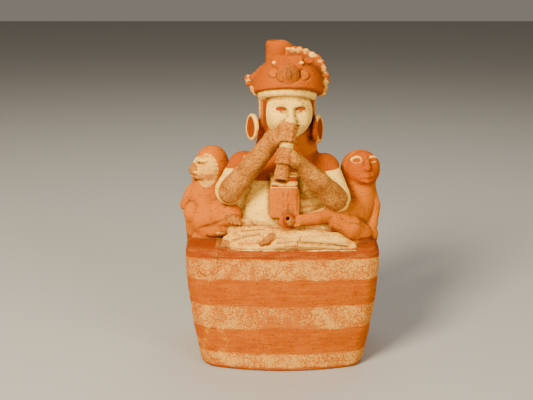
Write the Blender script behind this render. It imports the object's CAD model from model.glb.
import bpy
import math
import numpy as np
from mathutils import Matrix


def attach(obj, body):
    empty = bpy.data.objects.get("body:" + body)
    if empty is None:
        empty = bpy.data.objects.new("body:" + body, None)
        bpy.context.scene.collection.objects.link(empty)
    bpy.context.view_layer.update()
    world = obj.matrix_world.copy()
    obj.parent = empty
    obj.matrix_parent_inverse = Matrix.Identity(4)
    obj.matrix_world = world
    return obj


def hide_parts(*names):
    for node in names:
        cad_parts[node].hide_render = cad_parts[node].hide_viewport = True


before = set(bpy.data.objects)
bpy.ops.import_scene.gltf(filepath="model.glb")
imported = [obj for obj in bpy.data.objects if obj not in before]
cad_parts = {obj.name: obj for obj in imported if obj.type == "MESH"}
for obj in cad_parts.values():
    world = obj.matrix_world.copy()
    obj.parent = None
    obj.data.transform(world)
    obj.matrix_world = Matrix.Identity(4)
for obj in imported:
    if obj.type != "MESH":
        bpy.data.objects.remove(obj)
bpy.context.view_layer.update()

# The chamber: a box of thick pressed clay slabs, wider at the top than at the foot, with bowed walls.
# Its edges are rubbed soft by hand, and its crowned top is the seat that carries the figures.
# The clay is kept as distances to its skin, in millimetres, on a regular grid.
GRID_STEP = 0.7
GRID_LOW = (-83.0, -80.0, -3.0)
GRID_HIGH = (83.0, 57.0, 247.0)
grid = [np.arange(GRID_LOW[i], GRID_HIGH[i], GRID_STEP, dtype=np.float32) for i in range(3)]
FAR_OUTSIDE = 8.0
clay = np.full([len(line) for line in grid], FAR_OUTSIDE, dtype=np.float32)
coats = []
marks = []


class Form:
    """One lump of clay: the distance to its skin at any point, and the box that it lies in."""

    def __init__(self, distance, low, high):
        self.distance = distance
        self.low = low
        self.high = high


def soft_min(a, b, blend):
    near = np.maximum(blend - np.abs(a - b), 0.0) / blend
    return np.minimum(a, b) - near * near * blend * 0.25


def window(form, margin):
    spans = []
    for line, low, high in zip(grid, form.low, form.high):
        first = int(np.searchsorted(line, low - margin))
        last = int(np.searchsorted(line, high + margin))
        spans.append(slice(max(first, 0), min(last, len(line))))
    x = grid[0][spans[0]][:, None, None]
    y = grid[1][spans[1]][None, :, None]
    z = grid[2][spans[2]][None, None, :]
    return tuple(spans), x, y, z


def press(form, blend=1.5, slip="orange"):
    """Joins a lump to the clay with a soft seam, and notes the slip it was coated with."""
    spans, x, y, z = window(form, blend + 2.0)
    clay[spans] = soft_min(clay[spans], form.distance(x, y, z).astype(np.float32), blend)
    coats.append((slip, form))


def carve(form, blend=0.8):
    """Takes a lump's shape out of the clay."""
    spans, x, y, z = window(form, blend + 2.0)
    clay[spans] = -soft_min(-clay[spans], form.distance(x, y, z).astype(np.float32), blend)


def brush(slip, form):
    """Notes a painted place, which changes no clay."""
    marks.append((slip, form))


def soft_corner(a, b, radius):
    """The distance to two walls that meet in a rounded edge."""
    a, b = a + radius, b + radius
    return np.hypot(np.maximum(a, 0.0), np.maximum(b, 0.0)) + np.minimum(np.maximum(a, b), 0.0) - radius


FOOT_HALF_WIDTH, TOP_WIDENS_BY = 63.0, 10.8
FOOT_HALF_DEPTH, TOP_DEEPENS_BY = 42.0, 6.0
SWELLS_UP_TO, SWELL_CURVE = 85.0, 1.6
FRONT_BOW, FRONT_BOW_LOST_AT_TOP, BACK_BOW, SIDE_BOW = 12.5, 7.0, 5.0, 2.0
CORNER_RADIUS = 10.0
SEAT_HEIGHT, SEAT_CROWN = 95.0, 3.0
TOP_EDGE_RADIUS, FOOT_EDGE_RADIUS = 5.0, 3.2


def chamber_distance(x, y, z):
    rise = np.clip(z / SWELLS_UP_TO, 0.0, 1.0)
    swell = 1.0 - (1.0 - rise) ** SWELL_CURVE
    half_width = FOOT_HALF_WIDTH + TOP_WIDENS_BY * swell
    half_depth = FOOT_HALF_DEPTH + TOP_DEEPENS_BY * swell
    across = 1.0 - np.clip(x / half_width, -1.0, 1.0) ** 2
    front = -y - half_depth - (FRONT_BOW - FRONT_BOW_LOST_AT_TOP * swell) * across
    back = y - half_depth - BACK_BOW * across
    side = np.abs(x) - half_width + SIDE_BOW * np.clip(np.abs(y) / half_depth, 0.0, 1.0) ** 2
    plan = soft_corner(side, np.maximum(front, back), CORNER_RADIUS)
    crown_across = 1.0 - np.clip(x / 74.0, -1.0, 1.0) ** 2
    crown_deep = 1.0 - np.clip(y / 53.0, -1.0, 1.0) ** 2
    top = SEAT_HEIGHT + SEAT_CROWN * crown_across * crown_deep
    edge = np.where(z > 40.0, TOP_EDGE_RADIUS, FOOT_EDGE_RADIUS)
    return soft_corner(plan, np.maximum(z - top, -z), edge)


def roll(points, radii):
    """A roll of clay bent through points, with its own radius at each, and round ends."""
    ends = [np.asarray(p, dtype=float) for p in points]

    def distance(x, y, z):
        best = None
        for a, b, ra, rb in zip(ends, ends[1:], radii, radii[1:]):
            d = b - a
            along = ((x - a[0]) * d[0] + (y - a[1]) * d[1] + (z - a[2]) * d[2]) / float(d @ d)
            along = np.clip(along, 0.0, 1.0)
            off = [p - q - along * r for p, q, r in zip((x, y, z), a, d)]
            gap = np.sqrt(off[0] ** 2 + off[1] ** 2 + off[2] ** 2) - (ra + along * (rb - ra))
            best = gap if best is None else soft_min(best, gap, 1.0)
        return best

    r = max(radii)
    low = np.min(ends, axis=0) - r
    high = np.max(ends, axis=0) + r
    return Form(distance, list(low), list(high))


press(Form(chamber_distance, (-76, -54, 0), (76, 54, 99)))
crack = [
    (-48.0, -51.0, 91.6),
    (-48.0, -51.4, 86.6),
    (-48.2, -51.3, 78.3),
    (-57.6, -50.2, 75.3),
    (-62.8, -49.6, 78.7),
]
brush("grey", roll(crack, [0.8] * len(crack)))


# The crossed legs: two fat rolls of clay laid over each other on a thin mat at the front of the seat.
# The wide wrap was coated cream and has worn off towards one end. The bare foot is in brown slip.
def own_axes(at, yaw, tilt):
    """Turns points into a form's own across, deep and up. yaw is about the upright, tilt about its across."""
    c, s = math.cos(math.radians(yaw)), math.sin(math.radians(yaw))
    ct, st = math.cos(math.radians(tilt)), math.sin(math.radians(tilt))

    def turned(x, y, z):
        px, py, pz = x - at[0], y - at[1], z - at[2]
        u, v = c * px + s * py, -s * px + c * py
        return u, ct * v + st * pz, -st * v + ct * pz

    return turned


def bead(at, radii, yaw=0.0, tilt=0.0):
    """A squeezed ball."""
    turned = own_axes(at, yaw, tilt)

    def distance(x, y, z):
        u, v, w = turned(x, y, z)
        scaled = np.sqrt((u / radii[0]) ** 2 + (v / radii[1]) ** 2 + (w / radii[2]) ** 2)
        slope = np.sqrt((u / radii[0] ** 2) ** 2 + (v / radii[1] ** 2) ** 2 + (w / radii[2] ** 2) ** 2)
        return scaled * (scaled - 1.0) / np.maximum(slope, 1e-4)

    r = max(radii)
    return Form(distance, [p - r for p in at], [p + r for p in at])


def slab(at, half, round_edge, yaw=0.0, tilt=0.0):
    """A flat piece with rounded edges."""
    turned = own_axes(at, yaw, tilt)

    def distance(x, y, z):
        u, v, w = turned(x, y, z)
        a = np.abs(u) - half[0] + round_edge
        b = np.abs(v) - half[1] + round_edge
        d = np.abs(w) - half[2] + round_edge
        outside = np.sqrt(np.maximum(a, 0.0) ** 2 + np.maximum(b, 0.0) ** 2 + np.maximum(d, 0.0) ** 2)
        return outside + np.minimum(np.maximum(np.maximum(a, b), d), 0.0) - round_edge

    r = float(np.linalg.norm(half))
    return Form(distance, [p - r for p in at], [p + r for p in at])


press(bead((3, -24, 101), (40, 20, 10.5)), 3.0, "worn")
press(bead((13, -33, 104.5), (24, 13, 9.5)), 4.0, "worn")
press(roll([(-14, -14, 104), (-33, -31, 104)], (11, 8.5)), 3.0, "worn")
right_shin = [(-41, -38, 98.5), (-30, -38, 102.6), (-14, -42, 103.8), (0, -44, 102.5)]
left_shin = [(52, -42.5, 96.6), (40, -42.5, 100.0), (18, -43.5, 101.8), (-5, -46, 100)]
mat_edge = [(-44, -41, 96.4), (-24, -46, 97.2), (-8, -48, 97)]
foot = [(-8.0, -47.4, 104.2), (-11.5, -48.6, 102.4), (-16.0, -50.0, 100.2)]
press(roll(right_shin, (4.6, 7.2, 7.0, 5.4)), 1.6, "tan")
press(roll(left_shin, (3.2, 6.2, 7.4, 5.4)), 1.6, "worn")
press(roll(mat_edge, (2.0, 2.8, 2.2)), 1.6, "worn")
press(roll(foot, (3.6, 3.0, 1.6)), 1.6, "brown")
for crease in (
    [(5, -44.4, 109.8), (16, -43.6, 109.9), (28, -40.8, 109.4), (39, -37.6, 107.9)],
    [(-4, -51.0, 101.0), (11.8, -51.0, 101.2), (34.7, -49.1, 99.0), (50, -44.6, 96.8)],
    [(-39, -43.4, 99.6), (-29, -45.2, 103.8), (-17, -47.2, 106.8)],
    [(-37, -41.0, 104.6), (-27, -42.4, 108.4), (-14, -44.4, 110.0)],
):
    carve(roll(crease, (0.6, 1.0, 0.9, 0.5)[: len(crease)]), 1.6)
    brush("tan", roll(crease, (0.9, 1.5, 1.4, 0.8)[: len(crease)]))
brush("worn", slab((1, -31, 95.6), (50, 19.0, 2.6), 1.0))
brush("tan", slab((-42, -38, 97), (9, 13, 6), 2.0))
brush("brown", slab((-46.5, -37, 96.4), (7.5, 14, 4.5), 2.0))
brush("orange", bead((3.2, -46, 111.2), (6.0, 7, 3.2)))
hairline = [(12.1, -47.0, 107.6), (12.7, -50.8, 103.0), (10.6, -50.6, 102.0), (11.0, -49.6, 96.6)]
brush("grey", roll(hairline, [0.5] * len(hairline)))
rim_stroke = [(-40.6, -48.9, 94.9), (-13, -50.6, 95.2), (23.8, -50.2, 95.2), (54, -48.2, 94.6)]
brush("cream", roll(rim_stroke, (0.3, 0.6, 0.7, 0.3)))
brush("red", slab((-63, -36, 95), (13, 14, 4.5), 1.0))
brush("red", slab((66, -36, 95), (8.5, 14, 4.5), 1.0))


# The trunk: a hollow barrel of clay in a cream tunic, with a raised bib down its front.
# A small pierced knob was stuck in the lap while the clay was wet.
def barrel(levels):
    """An upright hollow-built form. A level is its height, its middle, and its half-width and half-depth."""
    table = np.array(levels, dtype=float)

    def distance(x, y, z):
        cx, cy, rx, ry = (np.interp(z, table[:, 0], table[:, i]) for i in range(1, 5))
        u, v = (x - cx) / rx, (y - cy) / ry
        scaled = np.sqrt(u * u + v * v)
        slope = np.sqrt((u / rx) ** 2 + (v / ry) ** 2)
        wall = scaled * (scaled - 1.0) / np.maximum(slope, 1e-4)
        return soft_corner(wall, np.maximum(z - table[-1, 0], table[0, 0] - z), 2.0)

    reach_x, reach_y = table[:, 3].max(), table[:, 4].max()
    low = [table[:, 1].min() - reach_x, table[:, 2].min() - reach_y, table[0, 0]]
    high = [table[:, 1].max() + reach_x, table[:, 2].max() + reach_y, table[-1, 0]]
    return Form(distance, low, high)


def smooth_levels(levels, count=40):
    """More levels between the given ones, on a smooth curve."""
    table = np.array(levels, dtype=float)
    z = np.linspace(table[0, 0], table[-1, 0], count)
    tangents = np.gradient(table[:, 1:], table[:, 0], axis=0)
    rows = []
    for height in z:
        i = min(max(int(np.searchsorted(table[:, 0], height)) - 1, 0), len(table) - 2)
        span = table[i + 1, 0] - table[i, 0]
        t = (height - table[i, 0]) / span
        h00, h10 = 2 * t**3 - 3 * t**2 + 1, t**3 - 2 * t**2 + t
        h01, h11 = -2 * t**3 + 3 * t**2, t**3 - t**2
        below = h00 * table[i, 1:] + h10 * span * tangents[i]
        rows.append((height, *(below + h01 * table[i + 1, 1:] + h11 * span * tangents[i + 1])))
    return rows


trunk = barrel(
    smooth_levels(
        [
            (92, 0, -10, 33, 21),
            (106, 0, -11, 35, 23),
            (120, 0, -12, 34, 24),
            (136, 0, -11, 33, 21.5),
            (148, 0, -10, 35, 17.5),
            (155, 0.5, -9, 32, 15),
            (162, 1, -8, 23, 13),
        ]
    )
)
press(trunk, 3.0, "cream")
press(slab((1.2, -34.6, 127.5), (11.2, 4.6, 11.0), 1.2, tilt=-3), 1.0, "orange")
for line in (0.3, 3.9, 10.4):
    brush("grey", slab((line, -39.0, 127.0), (0.7, 3, 10.0), 0.3))
brush("worn", bead((21, -28, 127), (13, 14, 15)))
press(slab((1.2, -31.6, 142.0), (10.2, 3.6, 5.4), 1.2, tilt=-16), 1.0, "worn")
brush("red", slab((1.2, -34, 140.6), (9.6, 6, 0.8), 0.4))
brush("red", slab((6.2, -33, 145.4), (5.0, 6, 1.6), 0.4))
press(roll([(3, -36, 113.5), (4.4, -45.5, 117.2)], (6.2, 4.6)), 1.5, "orange")
press(bead((4.5, -46.5, 117.6), (4.6, 4.0, 4.8)), 1.0, "rust")
brush("red", bead((4.5, -46.5, 117.6), (5.0, 4.4, 5.2)))
brush("brown", bead((5.8, -50.6, 116.8), (2.8, 2.6, 3.6)))
carve(roll([(4.0, -45, 117.6), (3.2, -52, 120.2)], (1.3, 1.5)), 0.4)


# The head: a hollow egg in a hood of hair that falls to the shoulders, with a calm, plain face.
# The face was coated cream, and the hair beside it dark red, with a pale strip along its outer edge.
HEAD_TURN = 5.0
HEAD_X = 3.2


def swung(form, about, degrees):
    """The same form turned about an upright line, to the viewer's right for a positive angle."""
    c, s = math.cos(math.radians(degrees)), math.sin(math.radians(degrees))

    def distance(x, y, z):
        px, py = x - about[0], y - about[1]
        return form.distance(about[0] + c * px + s * py, about[1] - s * px + c * py, z)

    reach = 2.0 + max(abs(corner[i] - about[i]) for corner in (form.low, form.high) for i in (0, 1))
    low = [about[0] - reach * 1.1, about[1] - reach * 1.1, form.low[2]]
    high = [about[0] + reach * 1.1, about[1] + reach * 1.1, form.high[2]]
    return Form(distance, low, high)


def on_head(form):
    return swung(form, (HEAD_X, -14.0), HEAD_TURN)


hood = barrel(
    smooth_levels(
        [
            (152, 1, -8, 29, 12),
            (160, 1.8, -8, 25.5, 14),
            (171, HEAD_X, -9, 22.4, 16),
            (182, HEAD_X, -11, 21.2, 18),
            (196, HEAD_X, -12, 21.0, 19.5),
            (208, HEAD_X, -13, 20.4, 20),
            (217, HEAD_X, -13, 17, 16),
        ]
    )
)
press(hood, 3.0, "orange")
press(on_head(bead((HEAD_X, -26, 193.5), (17.4, 16.0, 18.5))), 1.0, "cream")
press(on_head(bead((HEAD_X, -37, 179.6), (6.5, 4.5, 4.0))), 4.0, "cream")
for side in (-1, 1):
    brow = HEAD_X + side * 7.0
    press(on_head(bead((HEAD_X + side * 8.5, -36.5, 189.5), (5.0, 4.0, 5.0))), 4.0, "cream")
    carve(on_head(bead((brow, -42.2, 197.4), (4.6, 3.0, 2.6))), 2.0)
    press(on_head(bead((brow, -38.2, 197.2), (3.9, 2.2, 2.0))), 0.6, "cream")
    inner, outer = HEAD_X + side * 2.6, HEAD_X + side * 11.6
    brow_line = [(inner, -41.0, 200.8), (brow, -40.0, 201.8), (outer, -36.6, 200.4)]
    press(on_head(roll(brow_line, (1.1, 1.2, 0.9))), 1.6, "cream")
    brush("red", on_head(bead((brow, -39.6, 198.5), (4.4, 3.0, 1.5))))
    brush("cream", on_head(bead((brow, -40.0, 196.3), (3.6, 3.0, 1.0))))
    brush("grey", on_head(bead((brow, -40.4, 196.5), (0.9, 3.0, 0.7))))
    brush("red", on_head(slab((HEAD_X + side * 17.4, -24, 187), (1.9, 9, 15.5), 1.0, yaw=side * 14)))
    brush("worn", on_head(slab((HEAD_X + side * 21.0, -15, 197), (1.2, 4, 9), 0.6)))
nose = [(HEAD_X, -41.0, 200.0), (HEAD_X, -43.2, 195.6), (HEAD_X, -45.2, 191.8)]
press(on_head(roll(nose, (1.5, 1.8, 2.3))), 1.2, "cream")
for side in (-1, 1):
    press(on_head(bead((HEAD_X + side * 2.3, -43.0, 191.4), (1.7, 1.9, 1.5))), 0.8, "cream")


def lip(half, end, middle, thick):
    """A lip that is level across the face: its corners and its middle."""
    return on_head(roll([(HEAD_X - half, *end), (HEAD_X, *middle), (HEAD_X + half, *end)], thick))


press(lip(5.2, (-40.8, 186.6), (-42.8, 187.4), (0.9, 1.5, 0.9)), 0.9, "cream")
press(lip(4.7, (-40.4, 184.7), (-42.2, 183.8), (0.9, 1.6, 0.9)), 0.9, "cream")
brush("red", lip(5.7, (-41, 186.2), (-43.8, 187.0), (1.0, 1.4, 1.0)))


# The ear discs: dished clay plates on plugs at the sides of the hood, turned out and forward.
# Each has a cream rim round a red middle.
def unit(way):
    way = np.asarray(way, dtype=float)
    return way / np.linalg.norm(way)


def plate(at, axis, radius, half, round_edge):
    """A round plate with a soft edge, square to its axis."""
    n = unit(axis)

    def distance(x, y, z):
        px, py, pz = x - at[0], y - at[1], z - at[2]
        along = px * n[0] + py * n[1] + pz * n[2]
        out = np.sqrt(np.maximum(px * px + py * py + pz * pz - along * along, 0.0))
        return soft_corner(out - radius, np.abs(along) - half, round_edge)

    r = math.hypot(radius, half)
    return Form(distance, [p - r for p in at], [p + r for p in at])


for at, axis, rim in (
    ((-22.6, -20, 181.8), (-0.92, -0.38, 0.05), "cream"),
    ((26.2, -20, 180.4), (0.95, -0.29, 0.05), "worn"),
):
    n = unit(axis)
    place = np.array(at)
    press(roll([place - n * 14, place - n * 5.6], (5.5, 5.5)), 1.5, "orange")
    press(plate(at, axis, 10.2, 1.6, 1.2), 0.8, rim)
    carve(plate(place + n * 2.2, axis, 7.9, 1.4, 0.8), 0.6)
    brush("red", plate(place + n * 1.6, axis, 8.0, 1.9, 0.5))


# The headdress: a wide domed cap whose brim rises over the brow, with an animal's head in low relief.
# Behind it stands a fan with a scalloped edge and cream dots. One stretch of that edge is broken away.
BRIM_LEAN = math.radians(16.0)
BRIM_AT = (-15.0, 205.8)


def brim_height(y, z):
    """How far a point lies above the brim's cut, which rises to the front."""
    return (z - BRIM_AT[1]) * math.cos(BRIM_LEAN) + (y - BRIM_AT[0]) * math.sin(BRIM_LEAN)


def cut_at_brim(form, lift):
    """The part of a form above the brim's cut, or above a level so far below it."""
    def distance(x, y, z):
        return -soft_min(-form.distance(x, y, z), brim_height(y, z) + lift, 2.0)

    return Form(distance, form.low, form.high)


headband = cut_at_brim(bead((HEAD_X, -15, 210), (22.6, 25.4, 18)), 4.6)
cap = cut_at_brim(bead((HEAD_X + 1.2, -15, 209), (26.0, 30, 25)), 0.0)
press(headband, 2.0, "cream")
press(cap, 0.8, "rust")

FAN_MIDDLE = (3.2, -5.5, 212.0)
FAN_HALF = (30.2, 27.2)
FAN_SQUARENESS = 2.8
FAN_HALF_THICK, FAN_FOOT = 3.4, 7.0
FOOT_SLOPE, FOOT_LEFT, FOOT_RIGHT = 1.6, 46.2, 52.0
LOST_FROM, LOST_TO = 98.0, 145.0
LEFT_OF_LOST = 0.70
LOST_FADES_IN, LOST_FADES_OUT = 9.0, 32.0


def fan_reach(degrees):
    """How far the fan reaches at an angle: wide shoulders, lower to the top, and drawn in at the foot."""
    c, s = np.cos(np.radians(degrees)), np.sin(np.radians(degrees))
    wide = (np.abs(c) / FAN_HALF[0]) ** FAN_SQUARENESS + (np.abs(s) / FAN_HALF[1]) ** FAN_SQUARENESS
    drawn_in = np.where(c > 0, FOOT_RIGHT, FOOT_LEFT) / np.maximum(FOOT_SLOPE * np.abs(c) - s, 0.5)
    return np.minimum(wide ** (-1 / FAN_SQUARENESS), drawn_in)


def round_fan(x, z):
    """A point seen from the fan's middle: how far right and up it lies, and at what angle."""
    px, pz = x - FAN_MIDDLE[0], z - FAN_MIDDLE[2]
    degrees = np.degrees(np.arctan2(pz, px))
    return px, pz, np.where(degrees < -90, degrees + 360, degrees)


def fan_distance(x, y, z):
    px, pz, degrees = round_fan(x, z)
    before, after = (LOST_FROM - degrees) / LOST_FADES_IN, (degrees - LOST_TO) / LOST_FADES_OUT
    kept = np.clip(np.maximum(before, after), 0.0, 1.0)
    ragged = LEFT_OF_LOST * fan_reach(degrees) + 0.8 * np.sin(degrees * 0.31) + 0.5 * np.sin(degrees * 0.83)
    edge = ragged + (fan_reach(degrees) - ragged) * kept
    disc = soft_corner(np.hypot(px, pz) - edge, np.abs(y - FAN_MIDDLE[1]) - FAN_HALF_THICK, 2.0)
    return np.maximum(disc, -pz - FAN_FOOT)


def rim_distance(x, y, z):
    """The strip along the fan's kept edge that was dabbed with cream."""
    px, pz, degrees = round_fan(x, z)
    strip = np.abs(np.hypot(px, pz) - fan_reach(degrees) + 1.0) - 1.5 - 0.9 * np.sin(degrees * 0.55)
    lost = np.minimum(degrees - LOST_FROM + 6.0, LOST_TO - degrees) * 0.4
    return np.maximum(np.maximum(strip, lost), np.abs(y + 10.5) - 5.0)


press(Form(fan_distance, (-32, -10, 203), (39, -1, 243)), 4.0, "rust")
brush("worn", Form(rim_distance, (-32, -16, 202), (39, -5, 243)))
LOBES, FIRST_LOBE, LOBE_PITCH, LAST_LOBE = 24, -14.0, 9.2, 195.0
chips = np.random.default_rng(21)
for k in range(LOBES):
    degrees = FIRST_LOBE + k * LOBE_PITCH + chips.uniform(-1.5, 1.5)
    if LOST_FROM - 6 < degrees < LOST_TO + 21 or degrees > LAST_LOBE:
        continue
    c, s = math.cos(math.radians(degrees)), math.sin(math.radians(degrees))
    out = float(fan_reach(degrees))
    size = chips.uniform(1.8, 2.8)
    lobe = (FAN_MIDDLE[0] + (out - 1.1) * c, FAN_MIDDLE[1] - 0.6, FAN_MIDDLE[2] + (out - 1.1) * s)
    press(bead(lobe, (size, 3.8, size)), 1.2, "rust")
    fleck = out + chips.uniform(-2.4, 0.6)
    dab = (FAN_MIDDLE[0] + fleck * c, FAN_MIDDLE[1] - 4.0, FAN_MIDDLE[2] + fleck * s)
    spot = chips.uniform(0.9, 2.2)
    brush(chips.choice(("cream", "worn", "rust")), bead(dab, (spot * chips.uniform(0.7, 1.6), 5.0, spot)))


def seam_of(form, skin):
    """The thin line along which a form meets the skin that it stands on."""
    def distance(x, y, z):
        return np.maximum(np.abs(form.distance(x, y, z) - 0.8) - 0.5, -skin.distance(x, y, z) - 0.9)

    return Form(distance, [p - 2.0 for p in form.low], [p + 2.0 for p in form.high])


brow = slab((3.2, -26.8, 230.9), (11.0, 5.6, 1.8), 1.0, tilt=33)
snout = bead((3.6, -38.6, 223.2), (7.9, 6.2, 7.8))
near_disc = plate((14.8, -36.0, 222.2), (0.40, -0.84, 0.36), 3.5, 2.3, 1.2)
far_disc = plate((-6.6, -35.2, 223.8), (-0.36, -0.85, 0.38), 3.5, 1.4, 1.2)
almond = bead((18.6, -21.6, 230.8), (4.4, 2.6, 2.2), yaw=24, tilt=-6)
press(brow, 0.6, "rust")
for form in (snout, near_disc, far_disc, almond):
    press(form, 0.4, "rust")
    carve(seam_of(form, cap), 0.3)
    brush("grey", seam_of(form, cap))
press(roll([(2.8, -41.0, 228.4), (4.2, -43.6, 222.6)], (0.8, 1.5)), 2.4, "rust")
for line in (
    [(-8.0, -26.5, 234.2), (-4.5, -32.2, 230.4)],
    [(14.0, -25.4, 235.0), (9.9, -32.6, 230.2)],
    [(-8.0, -26.0, 234.6), (2.9, -25.0, 235.3), (14.0, -25.2, 235.2)],
    [(-2.8, -43.0, 219.2), (3.4, -45.0, 217.8), (9.4, -43.0, 219.2)],
    [(2.4, -44.4, 225.2), (1.4, -44.8, 222.6)],
    [(5.2, -44.4, 225.0), (6.6, -44.8, 222.4)],
):
    carve(roll(line, [0.6] * len(line)), 0.4)
    brush("grey", roll(line, [0.8] * len(line)))
for side in (-1, 1):
    carve(bead((3.4 + side * 9.9, -32.2, 230.8), (2.6, 2.0, 1.7)), 0.5)
    press(bead((3.4 + side * 9.9, -31.0, 230.6), (1.8, 1.6, 1.3)), 0.3, "cream")
    brush("cream", bead((3.4 + side * 9.7, -31.6, 230.7), (1.6, 2.6, 1.2)))
carve(bead((18.6, -23.9, 231.4), (3.0, 1.2, 1.0), yaw=24), 0.5)


# The arms and the flute: bent rolls of clay that stand free of the chest, with the fists round a short tube.
# The sleeves were coated cream under a rust yoke, the bare forearms and hands brown, and the flute cream.
right_fore = [(-39.0, -32.5, 135.8), (-23, -43, 157.4), (-6.0, -50.5, 178.8)]
left_fore = [(39.4, -33.5, 130.4), (25, -46, 146.5), (9.5, -55, 162.6)]
for shoulder, elbow, fore, wrist in (
    ((-28.8, -12, 150), (-40.0, -28, 135.4), right_fore, 6.4),
    ((31.5, -12, 148), (40.4, -29, 129.8), left_fore, 5.4),
):
    press(roll([shoulder, elbow], (12.4, 10.6)), 3.0, "cream")
    press(roll(fore, (9.0, 8.2, wrist)), 1.0, "brown")
brush("rust", bead((-31, -17, 156.0), (16, 12, 8.0)))
brush("rust", bead((31, -17, 155.5), (14.5, 14, 8.0)))
brush("rust", slab((-20, -20, 151), (10.5, 15, 8.5), 2.0))
brush("rust", slab((22, -20, 152), (10.0, 15, 8.0), 2.0))
brush("rust", slab((1, -20, 155), (13.0, 15, 6.5), 2.0))
brush("worn", slab((-26.0, -18, 157.8), (3.2, 8, 2.2), 0.6, yaw=-10))

FLUTE_MOUTH = np.array((5.0, -45.0, 188.0))
FLUTE_END = np.array((-1.8, -67.0, 151.0))
flute_axis = unit(FLUTE_END - FLUTE_MOUTH)
flute_left = unit(np.array((1.0, 0.0, 0.0)) - flute_axis * flute_axis[0])
flute_ahead = np.cross(flute_axis, flute_left)


def beside_flute(along, out, degrees):
    """A point so far down the flute and so far out from it. 0 is the player's left and 90 is ahead."""
    a = math.radians(degrees)
    return FLUTE_MOUTH + flute_axis * along + out * (flute_left * math.cos(a) + flute_ahead * math.sin(a))


press(roll([FLUTE_MOUTH, beside_flute(22, 0, 0)], (4.4, 5.0)), 0.8, "cream")
press(roll([beside_flute(22, 0, 0), beside_flute(38, 0, 0)], (4.8, 4.9)), 0.5, "brown")
press(plate(beside_flute(39.5, 0, 0), flute_axis, 5.4, 4.0, 0.8), 1.2, "brown")
carve(plate(beside_flute(42, 0, 0), flute_axis, 3.9, 7.0, 0.4), 0.5)
brush("dark", plate(beside_flute(40.6, 0, 0), flute_axis, 3.6, 7.0, 0.4))
press(roll([(-8.0, -50.0, 178.5), (-0.6, -52.4, 182.8)], (6.2, 5.2)), 1.5, "brown")
press(roll([(13.0, -54.0, 160.6), (6.2, -59.8, 166.4)], (5.6, 5.6)), 1.5, "brown")
JOINTS = 5
for along, start, sweep, pitch, palm in ((8.6, 220.0, -185.0, 3.4, 7.2), (26.4, -40.0, 185.0, 2.9, 6.2)):
    thick = pitch * 0.58
    press(bead(beside_flute(along, 4.6, start), (palm, palm, palm)), 1.5, "brown")
    for finger in range(4):
        level = along + (finger - 1.5) * pitch
        knuckles = [
            beside_flute(level, 5.2 + thick - 0.8 * (k == JOINTS), start + sweep * k / JOINTS)
            for k in range(JOINTS + 1)
        ]
        press(roll(knuckles, [thick] * JOINTS + [thick * 0.85]), 0.2, "brown")
    for gap in (-1, 0, 1):
        groove = [
            beside_flute(along + gap * pitch, 6.2 + thick, start + sweep * k / JOINTS)
            for k in range(JOINTS + 1)
        ]
        brush("grey", roll(groove, [0.45] * len(groove)))


# The monkeys: two hollow-built animals that crouch beside the player, each with a hand laid on the lap.
# One looks aside and has a cream face; the other looks ahead and has cream rings round its eyes.
def head_frame(at, degrees):
    """A place on a monkey's head: how far ahead, aside and up from its middle."""
    a = math.radians(degrees)
    look = np.array((-math.sin(a), -math.cos(a), 0.0))
    aside = np.array((math.cos(a), -math.sin(a), 0.0))
    return lambda ahead, across, up: np.array(at) + look * ahead + aside * across + np.array((0, 0, up))


press(
    barrel(
        smooth_levels(
            [
                (88, -57.8, 1, 15.8, 16),
                (97, -57.8, 0, 17.3, 17.4),
                (109, -58.3, 0, 17.5, 18),
                (119, -57.8, 0, 17.1, 16.8),
                (129, -57.3, 1, 15.3, 14.8),
                (137.3, -56.6, 1.5, 12.8, 12.7),
                (145.4, -55.8, 1.5, 11.2, 11.2),
            ]
        )
    ),
    2.5,
)
press(bead((-40, -4, 106), (8, 10, 12)), 2.0)
press(bead((-36, -16, 127), (9, 10, 13)), 3.0, "cream")
press(roll([(-56.8, -10.2, 108.8), (-46.5, -18, 113.5), (-38.5, -26, 116.5)], (14.2, 12.0, 7.6)), 3.0)
press(roll([(-46, -25, 112.6), (-37, -35.5, 114.6)], (6.6, 4.0)), 1.6)
press(roll([(-63, -13.5, 97.4), (-52, -19, 102.6), (-41, -25.5, 107.4)], (4.8, 7.4, 6.4)), 1.2)
press(bead((-69.0, -11.6, 114), (6.8, 7.0, 8.8), yaw=-20), 0.8)
press(roll([(-70, 0, 128.1), (-75.3, -4.1, 118)], (5.1, 4.1)), 2.0)
for finger in range(4):
    start = np.array((-41.5 + finger * 2.8, -35.6 - finger * 1.0, 116.6 - finger * 0.2))
    press(roll([start, start + np.array((1.0, -2.6, -3.0))], (1.5, 1.2)), 0.3, "brown")
    toe = np.array((-67.6 + finger * 2.4, -14.6 - finger * 0.9, 97.6))
    press(roll([toe, toe + np.array((-0.8, -2.6, -1.2))], (1.5, 1.2)), 0.4)
crease = [(-64, -21.1, 103.2), (-57.2, -24.9, 106.3), (-50.9, -28.9, 109.4), (-44.5, -34.0, 113.6)]
carve(roll(crease, (0.5, 0.9, 0.9, 0.5)), 1.4)
brush("brown", roll(crease, (0.5, 0.8, 0.8, 0.5)))
brush("brown", bead((-38.5, -36.5, 116.0), (5.8, 4.6, 3.4)))

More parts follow.
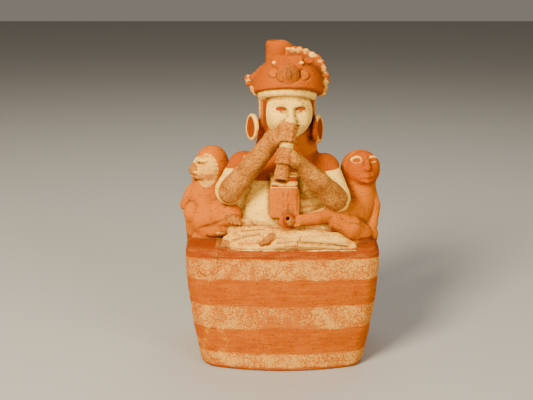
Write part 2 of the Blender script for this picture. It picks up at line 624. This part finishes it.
aside_head = head_frame((-54.1, 1.5, 148.9), 56)
press(bead(aside_head(0, 0, 0), (13.2, 13.4, 15.0)), 2.0)
press(bead(aside_head(4.2, 0.6, -2.6), (11.8, 11.2, 12.6), yaw=34), 0.6, "cream")
press(bead(aside_head(11.6, 0, -3.4), (8.0, 7.4, 6.6), yaw=34), 1.8, "cream")
aside_brow = [aside_head(12.6, -1.0, 5.0), aside_head(12.2, 4.4, 5.6), aside_head(10.6, 8.0, 4.6)]
press(roll(aside_brow, (1.4, 1.5, 1.2)), 1.4, "cream")
press(roll([aside_head(13.4, 0, 4.6), aside_head(17.4, 0, -0.4)], (1.6, 2.4)), 1.6, "cream")
press(roll([aside_head(14.6, 5.6, -3.6), aside_head(18.2, 0, -3.4)], (1.1, 1.8)), 1.0, "cream")
press(roll([aside_head(13.6, 5.2, -7.8), aside_head(17.0, 0, -8.0)], (1.1, 1.8)), 1.0, "cream")
aside_mouth = [aside_head(16.2, 4.6, -5.9), aside_head(19.8, 0, -5.8), aside_head(16.2, -4.6, -5.9)]
carve(roll(aside_mouth, (0.6, 0.8, 0.6)), 0.5)
brush("worn", bead((-58.4, -13.3, 147.2), (9.8, 16, 13.2)))
for side in (-1, 1):
    carve(roll([aside_head(13.2, side * 3.4, 3.0), aside_head(11.4, side * 7.6, 2.6)], (1.3, 1.1)), 0.8)
    lid = [aside_head(12.4, side * 3.6, 2.2), aside_head(10.8, side * 7.2, 2.0)]
    press(roll(lid, (1.3, 1.1)), 0.4, "cream")
brush("brown", bead(aside_head(18.2, 0.4, -3.2), (5.8, 5.4, 6.6)))
brush("worn", bead(aside_head(16.6, 4.2, -3.0), (2.6, 2.8, 1.0)))
mouth_line = [aside_head(16.4, 4.4, -5.9), aside_head(19.4, 0, -5.8), aside_head(16.4, -4.4, -5.9)]
brush("brown", roll(mouth_line, (0.8, 1.0, 0.8)))
brush("tan", bead(aside_head(12.4, 5.6, 2.4), (3.4, 3.4, 2.2)))
brush("cream", bead(aside_head(12.0, 5.8, 6.0), (3.6, 3.6, 1.2)))
brush("brown", roll([aside_head(13.0, 3.6, 2.8), aside_head(11.4, 7.4, 2.6)], (0.9, 0.7)))

press(
    barrel(
        smooth_levels(
            [
                (88, 59.9, 1, 15.7, 16),
                (97, 59.4, 0, 15.3, 17),
                (109, 59.7, 0, 14.7, 17.2),
                (119, 59.7, 0, 14.5, 15.8),
                (129, 59.7, 0.5, 13.6, 14.2),
                (137.3, 59.7, 1, 13.2, 13),
                (144.4, 59.9, 1, 12.8, 12.2),
            ]
        )
    ),
    2.5,
)
press(bead((32, -15.5, 124), (13, 12.5, 15)), 4.0, "cream")
press(bead((47, -7, 110), (11.2, 13.2, 17)), 3.0)
reaching_arm = [(57, -10.2, 114), (43, -25, 118.4), (25, -38.5, 117.2), (11, -44, 116)]
press(roll(reaching_arm, (11.7, 8.0, 5.0, 3.6)), 2.5)
press(roll([(39, -30, 113.0), (51, -27, 105.6), (60, -21, 99.0)], (7.6, 9.4, 9.0)), 2.5)
hanging_arm = [(68.8, 0, 128.1), (71.9, -5.1, 118.4), (69.8, -13.3, 105.7), (66.4, -17.4, 100.6)]
press(roll(hanging_arm, (5.1, 4.7, 4.3, 3.9)), 0.8)
press(roll([(63.3, -8.2, 99.6), (67.9, -15.3, 97.6)], (8.5, 6.5)), 2.0)
for finger in range(4):
    start = np.array((13.5 - finger * 0.4, -43.0 - finger * 1.2, 119.2 - finger * 1.8))
    press(roll([start, start + np.array((-4.0, -0.8, -0.3))], (1.3, 1.0)), 0.4)
crease = [(44.0, -35.2, 115.6), (51.4, -34.6, 112.1), (56.6, -32.8, 110.9), (63.6, -25.8, 106.6)]
carve(roll(crease, (0.5, 0.8, 0.8, 0.5)), 1.4)
brush("brown", roll(crease, (0.4, 0.8, 0.8, 0.4)))

front_head = head_frame((60.7, 1.5, 145.0), -13)
press(bead(front_head(0, 0, 0), (15.1, 13.8, 15.2)), 2.0)
press(bead(front_head(4.0, 0.4, 5.0), (13.4, 9.2, 7.8)), 3.0)
press(bead(front_head(5.8, 0.4, 1.3), (13.5, 10.0, 14.0), yaw=13), 0.6, "rust")
press(bead(front_head(13.0, 0.0, -2.6), (7.8, 5.6, 6.6), yaw=13), 2.5, "rust")
front_nose = [front_head(13.2, 0.2, 12.0), front_head(16.2, 0.2, 8.0), front_head(17.4, 0.2, 4.6)]
press(roll(front_nose, (1.4, 1.7, 2.5)), 1.0, "rust")
for side in (-1, 1):
    press(bead(front_head(16.2, 0.2 + side * 2.4, 4.4), (1.6, 1.7, 1.4)), 0.7, "rust")
upper_lip = [front_head(16.8, -4.4, -2.4), front_head(18.8, 0.2, -1.6), front_head(16.8, 4.8, -2.4)]
lower_lip = [front_head(16.6, -4.0, -5.2), front_head(18.4, 0.2, -5.6), front_head(16.6, 4.4, -5.2)]
between_lips = [front_head(17.2, -5.4, -3.8), front_head(20.2, 0.2, -3.6), front_head(17.2, 5.8, -3.8)]
press(roll(upper_lip, (1.0, 1.5, 1.0)), 0.6, "rust")
press(roll(lower_lip, (1.0, 1.5, 1.0)), 0.6, "rust")
carve(roll(between_lips, (0.6, 0.7, 0.6)), 0.4)
carve(bead(front_head(17.4, 0.2, -9.0), (4.4, 2.0, 1.3)), 1.0)
for side in (-1, 1):
    press(bead(front_head(10.6, side * 6.6 - 0.6, 10.2), (4.2, 2.4, 2.5), yaw=13), 0.5, "cream")
    carve(bead(front_head(13.2, side * 6.6 - 0.6, 10.1), (3.4, 1.2, 1.7), yaw=13), 0.3)
    press(bead(front_head(11.2, side * 6.6 - 0.6, 10.1), (2.4, 1.4, 1.4), yaw=13), 0.3, "rust")
    brush("cream", bead(front_head(12.0, side * 6.6 - 0.6, 10.2), (4.3, 4.4, 2.5), yaw=13))
    brush("rust", bead(front_head(13.0, side * 6.6 - 0.6, 10.1), (3.4, 5.0, 1.7), yaw=13))


# The stirrup and the spout: a bent tube that springs from the nape and comes down at the back of the seat.
# A straight, slightly flared spout stands on its crown. The lip is rounded by wear and chipped on one side.
ARCH = (-1.0, 22.0, 180.0)
ARCH_RADIUS = 21.0


def stirrup_path(overrun):
    points = [(ARCH[0], ARCH[1] - ARCH_RADIUS, ARCH[2] - 6 - overrun)]
    for degrees in range(180, -1, -15):
        a = math.radians(degrees)
        points.append((ARCH[0], ARCH[1] + ARCH_RADIUS * math.cos(a), ARCH[2] + ARCH_RADIUS * math.sin(a)))
    points.append((ARCH[0], 42.2, ARCH[2] - 35))
    points.append((ARCH[0], 41.0, 94.0))
    return points


path = stirrup_path(0)
press(roll(path, [9.5] * len(path)), 3.0, "rust")
press(roll([(ARCH[0], ARCH[1], 200), (ARCH[0], ARCH[1], 222)], (10.4, 11.0)), 2.0, "rust")
press(plate((ARCH[0], ARCH[1], 225.2), (0, 0, 1), 11.4, 17.3, 3.0), 1.0, "rust")
carve(plate((10.4, ARCH[1], 244.8), (0.527, 0, 0.85), 22, 6.0, 1.0), 1.5)
bore = stirrup_path(4)
carve(roll(bore[2:14], [6.0] * 12), 0.6)
carve(roll([(ARCH[0], ARCH[1], 200), (ARCH[0], ARCH[1], 246)], (6.4, 8.2)), 1.0)


# Drying and firing: the clay's skin becomes one mesh, with the slight unevenness of hand smoothing.
# It is thinned where the walls are flat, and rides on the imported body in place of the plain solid.
def skin_of(field):
    """Points and four-sided faces along the zero of the grid of distances."""
    shape = np.array(field.shape) - 1
    inside = field < 0.0
    count = np.zeros(shape, dtype=np.uint8)
    for i in (0, 1):
        for j in (0, 1):
            for k in (0, 1):
                count += inside[i : i + shape[0], j : j + shape[1], k : k + shape[2]]
    cells = np.argwhere((count > 0) & (count < 8))
    number = np.full(shape, -1, dtype=np.int32)
    number[tuple(cells.T)] = np.arange(len(cells), dtype=np.int32)
    total = np.zeros((len(cells), 3), dtype=np.float32)
    hits = np.zeros(len(cells), dtype=np.float32)
    for axis in range(3):
        b, c = [other for other in range(3) if other != axis]
        for i in (0, 1):
            for j in (0, 1):
                corner = np.zeros(3, dtype=int)
                corner[b], corner[c] = i, j
                far = corner.copy()
                far[axis] = 1
                near_value = field[tuple((cells + corner).T)]
                far_value = field[tuple((cells + far).T)]
                crossed = (near_value < 0.0) != (far_value < 0.0)
                share = near_value[crossed] / (near_value[crossed] - far_value[crossed])
                place = np.tile(corner.astype(np.float32), (int(crossed.sum()), 1))
                place[:, axis] = share
                total[crossed] += place
                hits[crossed] += 1.0
    points = np.array(GRID_LOW, dtype=np.float32) + (cells + total / hits[:, None]) * GRID_STEP
    faces = []
    for axis in range(3):
        b, c = (axis + 1) % 3, (axis + 2) % 3
        here = [slice(1, -1)] * 3
        there = [slice(1, -1)] * 3
        here[axis], there[axis] = slice(0, -1), slice(1, None)
        low_in, high_in = inside[tuple(here)], inside[tuple(there)]
        offset = np.ones(3, dtype=int)
        offset[axis] = 0
        for flag, order in ((low_in & ~high_in, (0, 1, 2, 3)), (~low_in & high_in, (3, 2, 1, 0))):
            spots = np.argwhere(flag) + offset
            ring = []
            for back_b, back_c in ((1, 1), (0, 1), (0, 0), (1, 0)):
                cell = spots.copy()
                cell[:, b] -= back_b
                cell[:, c] -= back_c
                ring.append(number[tuple(cell.T)])
            faces.append(np.stack([ring[i] for i in order], axis=1))
    return points, np.concatenate(faces)


def uneven(points, seed, waves, shortest, longest):
    """A gentle waviness made of a few long ripples, the same on every run."""
    chance = np.random.default_rng(seed)
    height = np.zeros(len(points))
    for _ in range(waves):
        way = chance.normal(size=3)
        way /= np.linalg.norm(way)
        length = chance.uniform(shortest, longest)
        height += np.sin(points @ way * (2 * math.pi / length) + chance.uniform(0, 2 * math.pi))
    return height / math.sqrt(waves)


points, faces = skin_of(clay)
raw = bpy.data.meshes.new("raw_clay")
raw.from_pydata(points.tolist(), [], faces.tolist())
raw.update()
normals = np.empty(len(points) * 3)
raw.vertex_normals.foreach_get("vector", normals)
normals = normals.reshape(-1, 3)
smoothing = 0.22 * uneven(points, 5, 14, 16, 60) + 0.10 * uneven(points, 9, 22, 5, 14)
keep_flat = np.clip(points[:, 2] / 3.0, 0.0, 1.0)
points = points + normals * (smoothing * keep_flat)[:, None]
raw.vertices.foreach_set("co", points.ravel())
raw.update()

MOST_TRIANGLES = 190000
shaping = bpy.data.objects.new("shaping", raw)
bpy.context.scene.collection.objects.link(shaping)
thin = shaping.modifiers.new("thin", "DECIMATE")
thin.ratio = min(1.0, MOST_TRIANGLES / (2.0 * len(faces)))
fired = bpy.data.meshes.new_from_object(shaping.evaluated_get(bpy.context.evaluated_depsgraph_get()))
bpy.data.objects.remove(shaping)
bpy.data.meshes.remove(raw)
fired.name = "vessel_skin"

place = np.empty(len(fired.vertices) * 3)
fired.vertices.foreach_get("co", place)
place = place.reshape(-1, 3)
fired.vertices.foreach_set("co", (place * 0.001).ravel())
fired.polygons.foreach_set("use_smooth", [True] * len(fired.polygons))
fired.update()

vessel = bpy.data.objects.new("stirrup_vessel", fired)
bpy.context.scene.collection.objects.link(vessel)
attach(vessel, "root")
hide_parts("vessel")


# The slips: thin clay paints laid on before firing, in cream, dark red, rust and brown over an orange ground.
# Each is kept as its distance inside its own edge, and the cavities hold dirt.
SLIPS = ("orange", "cream", "worn", "red", "rust", "brown", "tan", "grey", "dark")
px, py, pz = place[:, 0], place[:, 1], place[:, 2]
nearest = {slip: np.full(len(place), 60.0) for slip in SLIPS}
for slip, form in coats:
    nearest[slip] = np.minimum(nearest[slip], form.distance(px, py, pz))
inside = {}
for slip in SLIPS:
    others = np.min([nearest[other] for other in SLIPS if other != slip], axis=0)
    inside[slip] = (others - nearest[slip]) * 0.5
for slip, form in marks:
    reach = -form.distance(px, py, pz)
    for other in SLIPS:
        if other == slip:
            inside[other] = np.maximum(inside[other], reach)
        else:
            inside[other] = np.minimum(inside[other], -reach)
for slip in SLIPS[1:]:
    layer = fired.attributes.new(slip + "_slip", "FLOAT", "POINT")
    layer.data.foreach_set("value", np.clip(inside[slip], -6.0, 6.0).astype(np.float32))


def blurred(field, reach):
    """The grid averaged over a cube, to tell hollows from ridges."""
    for axis in range(3):
        first, last = np.take(field, [0], axis), np.take(field, [-1], axis)
        ends = np.repeat(first, reach + 1, axis), np.repeat(last, reach, axis)
        padded = np.concatenate([ends[0], field, ends[1]], axis)
        run = np.cumsum(padded, axis=axis, dtype=np.float64)
        size, width = field.shape[axis], 2 * reach + 1
        total = np.take(run, range(width, width + size), axis) - np.take(run, range(size), axis)
        field = (total / width).astype(np.float32)
    return field


NEAR_SKIN = 4.0
HOLLOW_REACH = 2.6
near = np.clip(clay, -NEAR_SKIN, NEAR_SKIN)
spread = blurred(near, max(2, round(HOLLOW_REACH / GRID_STEP)))
cell = np.round((place - np.array(GRID_LOW)) / GRID_STEP).astype(int)
index = tuple(np.clip(cell[:, i], 0, clay.shape[i] - 1) for i in range(3))
lift = spread[index] - near[index]
layer = fired.attributes.new("ridge", "FLOAT", "POINT")
layer.data.foreach_set("value", np.clip(lift, -2.0, 2.0).astype(np.float32))

fired_slip = bpy.data.materials.new("fired_slip")
fired_slip.use_nodes = True
fired.materials.append(fired_slip)
tree = fired_slip.node_tree
tree.nodes.clear()


def node(kind, **settings):
    made = tree.nodes.new(kind)
    for name, value in settings.items():
        setattr(made, name, value)
    return made


def wire(source, target, key):
    tree.links.new(source, target.inputs[key])


def maths(operation, a, b=None, c=None):
    made = node("ShaderNodeMath", operation=operation)
    for i, value in enumerate((a, b, c)):
        if value is None:
            continue
        if isinstance(value, (int, float)):
            made.inputs[i].default_value = value
        else:
            wire(value, made, i)
    return made.outputs[0]


def blend_colour(share, a, b, mode="MIX"):
    made = node("ShaderNodeMix", data_type="RGBA", blend_type=mode)
    for key, value in ((0, share), (6, a), (7, b)):
        if isinstance(value, (int, float)):
            made.inputs[key].default_value = value
        elif isinstance(value, tuple):
            made.inputs[key].default_value = (*value, 1.0)
        else:
            wire(value, made, key)
    return made.outputs[2]


def step_between(value, low, high):
    made = node("ShaderNodeMapRange", interpolation_type="SMOOTHSTEP")
    wire(value, made, 0)
    made.inputs[1].default_value = low
    made.inputs[2].default_value = high
    return made.outputs[0]


where = node("ShaderNodeTexCoord")
in_mm = node("ShaderNodeVectorMath", operation="SCALE")
wire(where.outputs["Object"], in_mm, 0)
in_mm.inputs["Scale"].default_value = 1000.0
apart = node("ShaderNodeSeparateXYZ")
wire(in_mm.outputs[0], apart, 0)
height = apart.outputs[2]


def noise(scale, detail=4.0, rough=0.55, stretch=None):
    made = node("ShaderNodeTexNoise")
    made.inputs["Scale"].default_value = scale
    made.inputs["Detail"].default_value = detail
    made.inputs["Roughness"].default_value = rough
    if stretch is None:
        wire(in_mm.outputs[0], made, "Vector")
    else:
        pull = node("ShaderNodeMapping")
        pull.inputs["Scale"].default_value = stretch
        wire(in_mm.outputs[0], pull, "Vector")
        wire(pull.outputs[0], made, "Vector")
    return made.outputs[0]


def slip_edge(name):
    made = node("ShaderNodeAttribute", attribute_type="GEOMETRY", attribute_name=name)
    return made.outputs["Fac"]


patchy = noise(0.075, 5.0, 0.62)
brushed = noise(0.16, 4.0, 0.6, (0.3, 0.3, 2.4))
speckle = noise(0.55, 4.0, 0.65)
fine = noise(0.95, 3.0, 0.62)
grain = noise(1.6, 3.0, 0.6)
worms = noise(0.85, 2.0, 0.5)
streaks = noise(0.5, 3.0, 0.6, (0.10, 0.10, 1.5))


def centred(value, strength):
    return maths("MULTIPLY", maths("SUBTRACT", value, 0.5), strength)


ragged = maths("ADD", centred(speckle, 1.3), centred(patchy, 1.0))
wander = maths("ADD", centred(patchy, 4.0), centred(brushed, 3.2))
band_height = maths("ADD", height, wander)


STRIPE_EDGE = 0.9


def band(low, high):
    """A level stripe round the box between two heights, with an uneven edge."""
    above = step_between(band_height, low - STRIPE_EDGE, low + STRIPE_EDGE)
    below = step_between(band_height, high + STRIPE_EDGE, high - STRIPE_EDGE)
    return maths("MULTIPLY", above, below)


def coat(slip, softness=0.7):
    """How surely a place lies inside a slip's edge, with a ragged outline."""
    edge = maths("ADD", slip_edge(slip + "_slip"), maths("MULTIPLY", ragged, softness))
    return step_between(edge, -0.2, 0.3)


wear = maths("ADD", fine, maths("MULTIPLY_ADD", patchy, 0.8, maths("MULTIPLY", brushed, 0.5)))
full = step_between(wear, 1.42, 1.24)
rub = maths("MULTIPLY_ADD", patchy, 0.6, maths("MULTIPLY", brushed, 0.8))
rub = maths("ADD", rub, maths("MULTIPLY", fine, 0.3))
kept = step_between(rub, 0.96, 0.78)
across = apart.outputs[0]
middle = maths("ABSOLUTE", maths("ADD", across, 3.0))
TOP_STRIPE, MIDDLE_STRIPE, LOW_STRIPE = (73, 88.5), (34.5, 52), (3.5, 14)
top_kept = maths("MULTIPLY_ADD", step_between(across, -45.0, 5.0), 0.24, 0.40)
middle_kept = maths("MULTIPLY_ADD", step_between(middle, 14.0, 32.0), 0.42, 0.16)
top_band = maths("MULTIPLY", band(*TOP_STRIPE), top_kept)
middle_band = maths("MULTIPLY", band(*MIDDLE_STRIPE), middle_kept)
low_band = maths("MULTIPLY", band(*LOW_STRIPE), 0.66)
density = maths("ADD", top_band, maths("ADD", middle_band, low_band))
bands = step_between(density, 0.0, 0.16)
grained = maths("ADD", maths("ADD", worms, centred(patchy, 0.7)), maths("MULTIPLY", density, 0.34))
worn_bands = maths("MULTIPLY", bands, maths("MULTIPLY", step_between(grained, 0.60, 0.80), 0.37))
cream_line = coat("cream", 0.4)
rim_band = maths("MULTIPLY", step_between(band_height, 88.2, 90.4), step_between(height, 95.8, 95.2))
rim_band = maths("MULTIPLY", rim_band, maths("SUBTRACT", 1.0, cream_line))
cream_share = maths("MULTIPLY", coat("cream"), maths("MULTIPLY_ADD", full, 0.5, 0.46))
worn_share = maths("MULTIPLY", coat("worn"), maths("MULTIPLY_ADD", kept, 0.60, 0.06))

ORANGE = (0.36, 0.070, 0.001)
ORANGE_PALE = (0.50, 0.120, 0.003)
BODY_ORANGE = (0.56, 0.140, 0.001)
CREAM = (0.94, 0.53, 0.07)
CREAM_PALE = (0.99, 0.73, 0.15)
RUST = (0.35, 0.055, 0.0)
RED = (0.22, 0.030, 0.002)
DUST = (0.54, 0.21, 0.035)
BROWN = (0.18, 0.052, 0.007)
BROWN_PALE = (0.54, 0.21, 0.030)
ORANGE_MOTTLE = (0.25, 0.044, 0.0)
FLAKED_GROUND = (0.70, 0.28, 0.010)
STRIPE_GROUND = (0.52, 0.17, 0.022)
GREY_LINE = (0.11, 0.045, 0.016)
DARK_BORE = (0.03, 0.012, 0.006)
GRIME = (0.12, 0.045, 0.014)
PIT = (0.11, 0.032, 0.008)
on_box = step_between(height, 98.0, 92.0)
strokes = maths("ADD", centred(brushed, 0.35), maths("MULTIPLY", on_box, centred(streaks, 0.45)))
strokes = maths("MULTIPLY_ADD", patchy, 0.6, maths("ADD", strokes, 0.2))
orange = blend_colour(step_between(strokes, 0.38, 0.70), ORANGE, ORANGE_PALE)
orange = blend_colour(maths("MULTIPLY", maths("SUBTRACT", 1.0, on_box), 0.8), orange, BODY_ORANGE)
mottle = maths("MULTIPLY_ADD", speckle, 0.7, maths("MULTIPLY", brushed, 0.3))
mottle = step_between(maths("ADD", centred(patchy, 0.9), mottle), 0.46, 0.78)
orange = blend_colour(maths("MULTIPLY", mottle, 0.5), orange, ORANGE_MOTTLE)
left_end = maths("MULTIPLY", on_box, step_between(across, -34.0, -48.0))
flaked = step_between(maths("ADD", patchy, centred(speckle, 0.5)), 0.56, 0.66)
flaked = maths("MULTIPLY", flaked, left_end)
orange = blend_colour(maths("MULTIPLY", flaked, 0.6), orange, FLAKED_GROUND)
cream = blend_colour(step_between(speckle, 0.35, 0.7), CREAM, CREAM_PALE)
grainy = maths("MULTIPLY_ADD", fine, 0.5, maths("MULTIPLY", speckle, 0.5))
grainy = maths("ADD", grainy, centred(patchy, 0.5))
brown = blend_colour(step_between(grainy, 0.30, 0.68), BROWN, BROWN_PALE)
flecks = step_between(maths("ADD", fine, centred(patchy, 0.6)), 0.58, 0.72)
brown = blend_colour(maths("MULTIPLY", flecks, 0.5), brown, CREAM)
tan = blend_colour(step_between(fine, 0.38, 0.60), BROWN_PALE, CREAM)
colour = blend_colour(maths("MULTIPLY", bands, 0.38), orange, STRIPE_GROUND)
colour = blend_colour(maths("MULTIPLY", coat("rust", 1.0), 0.7), colour, RUST)
colour = blend_colour(maths("MULTIPLY", coat("brown"), 0.92), colour, brown)
colour = blend_colour(maths("MULTIPLY", coat("tan"), 0.92), colour, tan)
colour = blend_colour(maths("MULTIPLY", coat("worn"), 0.7), colour, DUST)
colour = blend_colour(worn_share, colour, cream)
colour = blend_colour(cream_share, colour, cream)
colour = blend_colour(worn_bands, colour, cream)
dusty = step_between(maths("ADD", streaks, centred(patchy, 0.6)), 0.45, 0.68)
red = blend_colour(maths("MULTIPLY", dusty, maths("MULTIPLY", on_box, 0.28)), RED, DUST)
colour = blend_colour(maths("MULTIPLY", maths("MAXIMUM", coat("red", 0.6), rim_band), 0.85), colour, red)
colour = blend_colour(maths("MULTIPLY", coat("grey", 0.5), 0.6), colour, GREY_LINE)
colour = blend_colour(step_between(slip_edge("dark_slip"), -0.2, 0.4), colour, DARK_BORE)

ridge = slip_edge("ridge")
grime = maths("MULTIPLY", step_between(ridge, -0.05, -0.55), maths("MULTIPLY_ADD", patchy, 0.6, 0.35))
colour = blend_colour(maths("MULTIPLY", grime, 0.95), colour, GRIME)
rubbed = maths("MULTIPLY", step_between(ridge, 0.25, 0.8), step_between(speckle, 0.48, 0.62))
colour = blend_colour(maths("MULTIPLY", rubbed, 0.4), colour, ORANGE_PALE)
scratched = noise(0.8, 3.0, 0.6, (0.22, 0.22, 1.5))
pits = maths("MAXIMUM", step_between(noise(0.8, 3.0, 0.6), 0.60, 0.67), step_between(scratched, 0.62, 0.69))
colour = blend_colour(maths("MULTIPLY", pits, 0.62), colour, PIT)

surface = node("ShaderNodeBsdfPrincipled")
surface.inputs["IOR"].default_value = 1.45
surface.inputs["Specular IOR Level"].default_value = 0.03
wire(colour, surface, "Base Color")
rough = node("ShaderNodeMapRange")
wire(maths("MULTIPLY_ADD", cream_share, 0.5, maths("MULTIPLY", speckle, 0.6)), rough, 0)
SMOOTHEST, ROUGHEST = 0.56, 0.86
for i, value in enumerate((0.2, 0.9, SMOOTHEST, ROUGHEST), start=1):
    rough.inputs[i].default_value = value
wire(rough.outputs[0], surface, "Roughness")
relief = maths("MULTIPLY_ADD", speckle, 0.55, maths("MULTIPLY", brushed, 0.6))
relief = maths("MULTIPLY_ADD", grain, 0.35, relief)
relief = maths("SUBTRACT", relief, maths("MULTIPLY", pits, 0.5))
bump = node("ShaderNodeBump")
bump.inputs["Strength"].default_value = 0.5
bump.inputs["Distance"].default_value = 0.0006
wire(relief, bump, "Height")
wire(bump.outputs[0], surface, "Normal")
out = node("ShaderNodeOutputMaterial")
wire(surface.outputs[0], out, 0)


# The stage: a plain pale floor, soft warm light from the upper left, and weak ones from the right and above.
# The camera looks slightly down on the vessel's front, from the photograph's viewing angle.
floor_mesh = bpy.data.meshes.new("floor")
floor_mesh.from_pydata([(-4, -3, 0), (4, -3, 0), (4, 5, 0), (-4, 5, 0)], [], [(0, 1, 2, 3)])
floor = bpy.data.objects.new("floor", floor_mesh)
bpy.context.scene.collection.objects.link(floor)
pale = bpy.data.materials.new("pale_floor")
pale.use_nodes = True
matt = pale.node_tree.nodes["Principled BSDF"].inputs
matt["Base Color"].default_value = (0.38, 0.37, 0.36, 1.0)
matt["Roughness"].default_value = 0.9
floor_mesh.materials.append(pale)

world = bpy.data.worlds.new("studio")
bpy.context.scene.world = world
world.use_nodes = True
haze = world.node_tree.nodes["Background"].inputs
haze["Color"].default_value = (1.0, 0.91, 0.78, 1.0)
haze["Strength"].default_value = 0.21

LAMP_AIM = (0, 0, 0.12)


def lamp(name, at, size, power, tint):
    light = bpy.data.lights.new(name, "AREA")
    light.size = size
    light.energy = power
    light.color = tint
    holder = bpy.data.objects.new(name, light)
    holder.location = at
    away = np.array(at) - np.array(LAMP_AIM)
    lean = math.atan2(math.hypot(away[0], away[1]), away[2])
    holder.rotation_euler = (lean, 0.0, math.atan2(away[0], -away[1]))
    bpy.context.scene.collection.objects.link(holder)


lamp("key", (-0.68, -1.0, 0.95), 0.45, 56.0, (1.0, 0.86, 0.60))
lamp("fill", (0.8, -1.0, 0.55), 0.6, 13.0, (1.0, 0.88, 0.68))
lamp("top", (0.1, 0.5, 1.3), 0.8, 7.0, (1.0, 0.97, 0.92))

SENSOR_MM = 36.0
FOCAL_PX, PHOTO_WIDTH_PX = 900.0, 533.0
LOOKS_DOWN = 14.2
camera = bpy.data.cameras.new("camera")
camera.sensor_width = SENSOR_MM
camera.lens = SENSOR_MM * FOCAL_PX / PHOTO_WIDTH_PX
holder = bpy.data.objects.new("camera", camera)
holder.location = (-0.0120, -0.683, 0.2936)
holder.rotation_euler = (math.radians(90 - LOOKS_DOWN), 0.0, 0.0)
bpy.context.scene.collection.objects.link(holder)
bpy.context.scene.camera = holder
